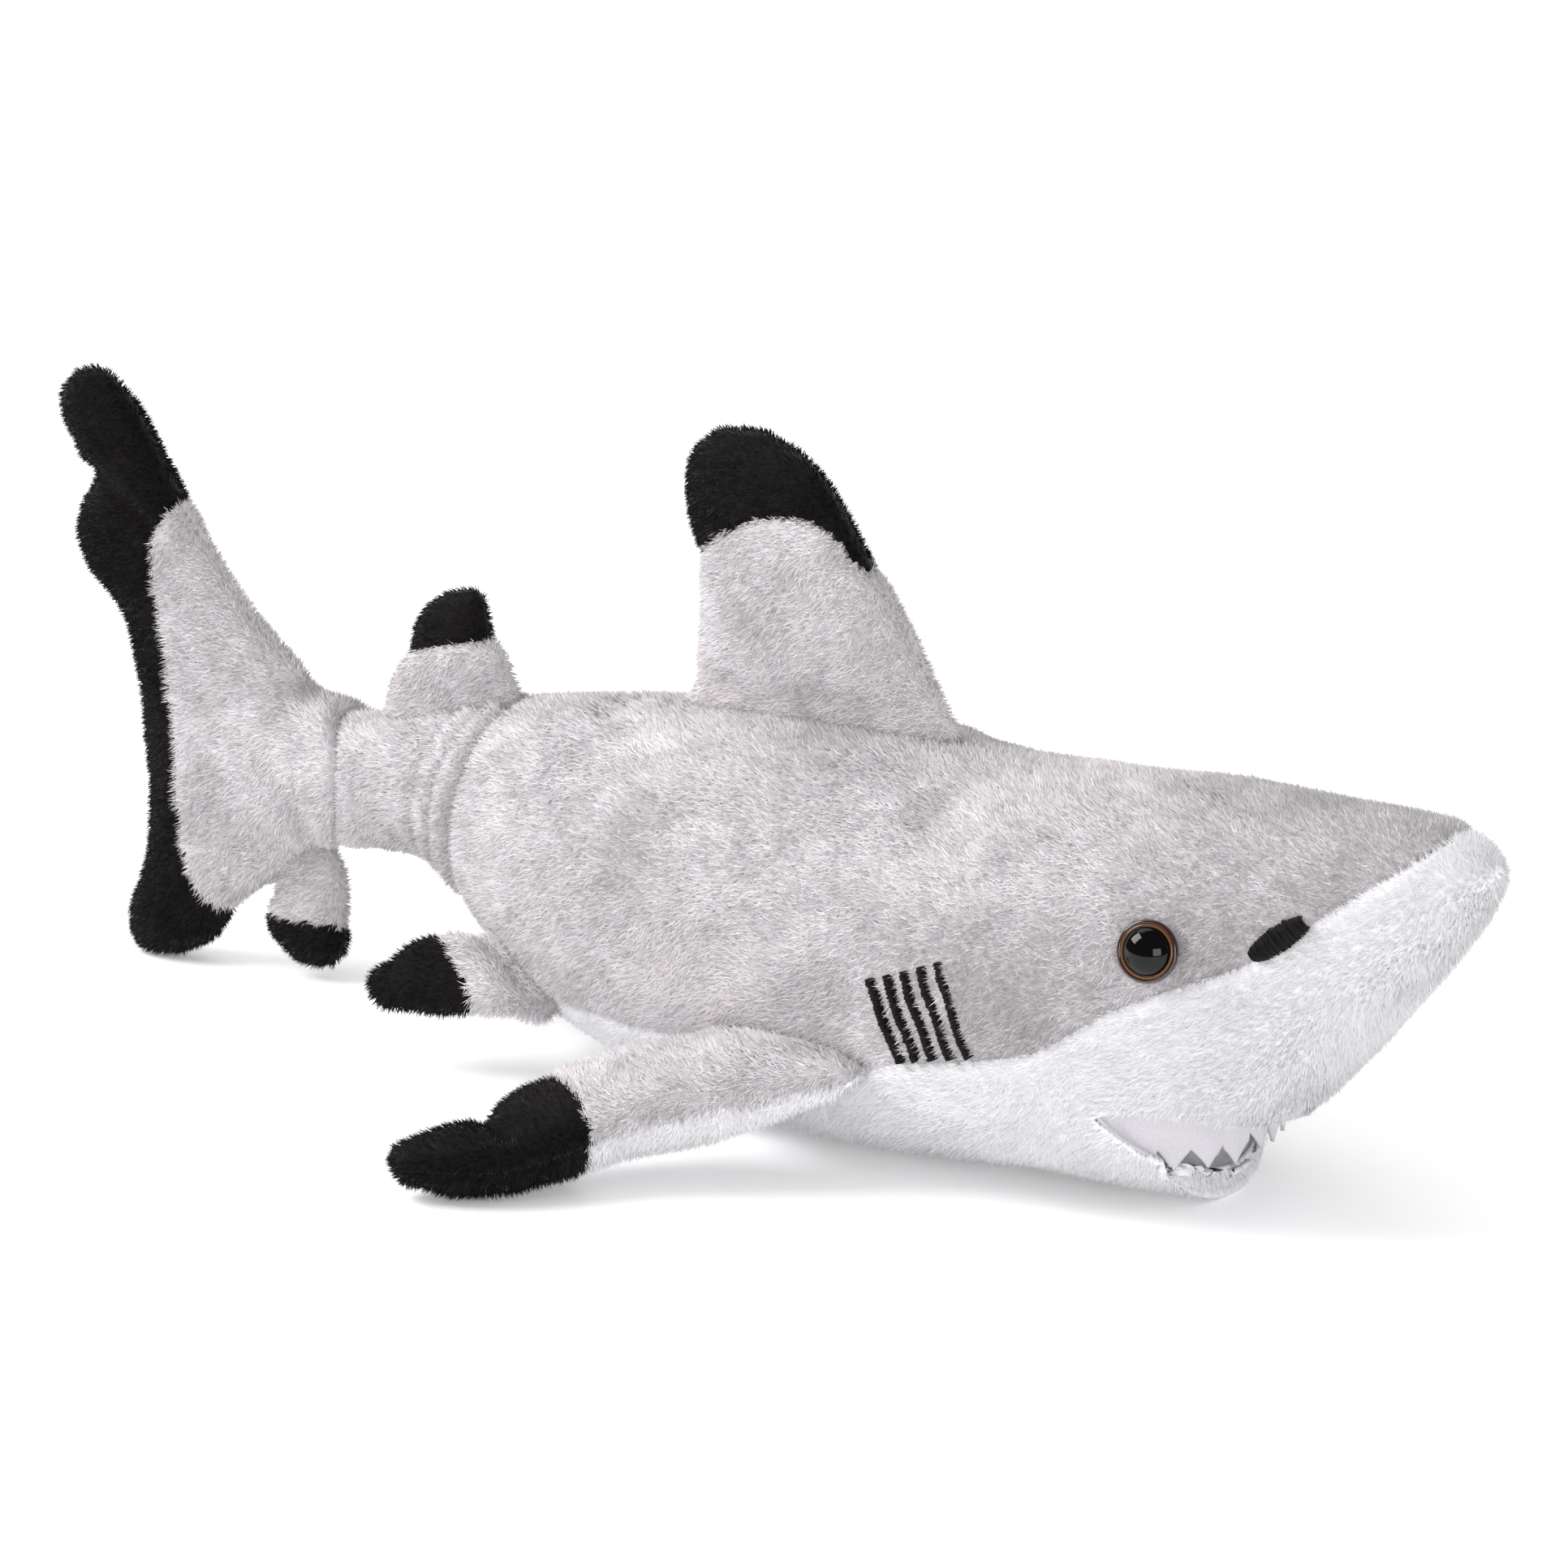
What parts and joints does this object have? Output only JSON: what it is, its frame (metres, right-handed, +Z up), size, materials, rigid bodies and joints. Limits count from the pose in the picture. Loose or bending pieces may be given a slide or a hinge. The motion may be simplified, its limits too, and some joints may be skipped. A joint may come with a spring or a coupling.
{
  "type": "plush reef shark",
  "caption": "Stuffed reef shark lying on its belly: grey plush back, white belly, black fin tips, open mouth with felt teeth, safety eyes and stitched gills.",
  "frame": {"origin": "middle of the whole toy's footprint, on the surface that the belly rests on", "axes": "+X towards the nose, +Y the shark's left side, +Z up"},
  "size_m": [0.3695, 0.207, 0.1471],
  "materials": {
    "grey_plush": "short dense pile, warm grey with a mauve cast, brushed in patches",
    "white_plush": "short dense pile, cool white",
    "black_plush": "short dense pile, black",
    "felt": "thin pressed felt, light grey",
    "stuffing": "loose polyester fibre",
    "black_thread": "satin-stitched embroidery thread",
    "eye_black": "polished black dome",
    "eye_amber": "translucent brown-amber ring",
    "clear_nylon": "moulded locking washer"
  },
  "bodies": {
    "body": {"body_back_panel": "grey_plush", "body_belly_panel": "white_plush", "body_stuffing": "stuffing", "eye_left": "eye_black", "eye_right": "eye_black", "eye_ring_left": "eye_amber", "eye_ring_right": "eye_amber", "eye_washer_left": "clear_nylon", "eye_washer_right": "clear_nylon", "gill_left_1": "black_thread", "gill_left_2": "black_thread", "gill_left_3": "black_thread", "gill_left_4": "black_thread", "gill_left_5": "black_thread", "gill_right_1": "black_thread", "gill_right_2": "black_thread", "gill_right_3": "black_thread", "gill_right_4": "black_thread", "gill_right_5": "black_thread", "mouth_lining": "felt", "nostril_left": "black_thread", "nostril_right": "black_thread", "upper_teeth_strip": "felt"},
    "jaw": {"jaw_cover": "white_plush", "jaw_lining": "felt", "jaw_stuffing": "stuffing"},
    "tail": {"tail_fin_cover": "grey_plush", "tail_fin_edge": "black_plush", "tail_fin_stuffing": "stuffing"},
    "anal_fin": {"anal_fin_cover": "grey_plush", "anal_fin_stuffing": "stuffing", "anal_fin_tip": "black_plush"},
    "dorsal_fin": {"dorsal_fin_cover": "grey_plush", "dorsal_fin_stuffing": "stuffing", "dorsal_fin_tip": "black_plush"},
    "second_dorsal_fin": {"second_dorsal_cover": "grey_plush", "second_dorsal_stuffing": "stuffing", "second_dorsal_tip": "black_plush"},
    "pectoral_fin_right": {"pectoral_fin_lower_right": "white_plush", "pectoral_fin_stuffing_right": "stuffing", "pectoral_fin_tip_right": "black_plush", "pectoral_fin_upper_right": "grey_plush"},
    "pectoral_fin_left": {"pectoral_fin_lower_left": "white_plush", "pectoral_fin_stuffing_left": "stuffing", "pectoral_fin_tip_left": "black_plush", "pectoral_fin_upper_left": "grey_plush"},
    "pelvic_fin_right": {"pelvic_fin_lower_right": "white_plush", "pelvic_fin_stuffing_right": "stuffing", "pelvic_fin_tip_right": "black_plush", "pelvic_fin_upper_right": "grey_plush"},
    "pelvic_fin_left": {"pelvic_fin_lower_left": "white_plush", "pelvic_fin_stuffing_left": "stuffing", "pelvic_fin_tip_left": "black_plush", "pelvic_fin_upper_left": "grey_plush"}
  },
  "joints": [
    {"name": "jaw_open", "type": "hinge", "parent": "body", "child": "jaw", "pos_m": [0.11265, 0, 0.02492], "axis": [0, 1, 0], "range_deg": [0, 10], "stiffness_Nm_per_rad": 0.04},
    {"name": "tail_swing", "type": "hinge", "parent": "body", "child": "tail", "pos_m": [-0.10985, 0, 0.04972], "axis": [0, 0, 1], "range_deg": [-35, 15], "stiffness_Nm_per_rad": 0.06},
    {"name": "anal_fin_flop", "type": "hinge", "parent": "tail", "child": "anal_fin", "pos_m": [-0.12364, -0.00243, 0.02442], "axis": [0.8649, 0.1525, 0.4782], "range_deg": [-20, 20], "stiffness_Nm_per_rad": 0.02},
    {"name": "dorsal_fin_flop", "type": "hinge", "parent": "body", "child": "dorsal_fin", "pos_m": [0.02115, 0, 0.08842], "axis": [0.9996, 0, 0.03], "range_deg": [-18, 18], "stiffness_Nm_per_rad": 0.05},
    {"name": "second_dorsal_fin_flop", "type": "hinge", "parent": "body", "child": "second_dorsal_fin", "pos_m": [-0.08185, 0, 0.07409], "axis": [0.9735, 0, 0.2288], "range_deg": [-18, 18], "stiffness_Nm_per_rad": 0.02},
    {"name": "pectoral_fin_lift_right", "type": "hinge", "parent": "body", "child": "pectoral_fin_right", "pos_m": [0.03948, -0.04713, 0.0261], "axis": [-0.9992, 0.0409, 0.001], "range_deg": [-12, 35], "stiffness_Nm_per_rad": 0.06},
    {"name": "pectoral_fin_lift_left", "type": "hinge", "parent": "body", "child": "pectoral_fin_left", "pos_m": [0.03948, 0.04713, 0.0261], "axis": [0.9992, 0.0409, -0.001], "range_deg": [-12, 35], "stiffness_Nm_per_rad": 0.06},
    {"name": "pelvic_fin_lift_right", "type": "hinge", "parent": "body", "child": "pelvic_fin_right", "pos_m": [-0.0454, -0.02801, 0.02198], "axis": [-0.8252, 0.063, 0.5613], "range_deg": [-12, 25], "stiffness_Nm_per_rad": 0.03},
    {"name": "pelvic_fin_lift_left", "type": "hinge", "parent": "body", "child": "pelvic_fin_left", "pos_m": [-0.0454, 0.02801, 0.02198], "axis": [0.8252, 0.063, -0.5613], "range_deg": [-12, 25], "stiffness_Nm_per_rad": 0.03}
  ]
}
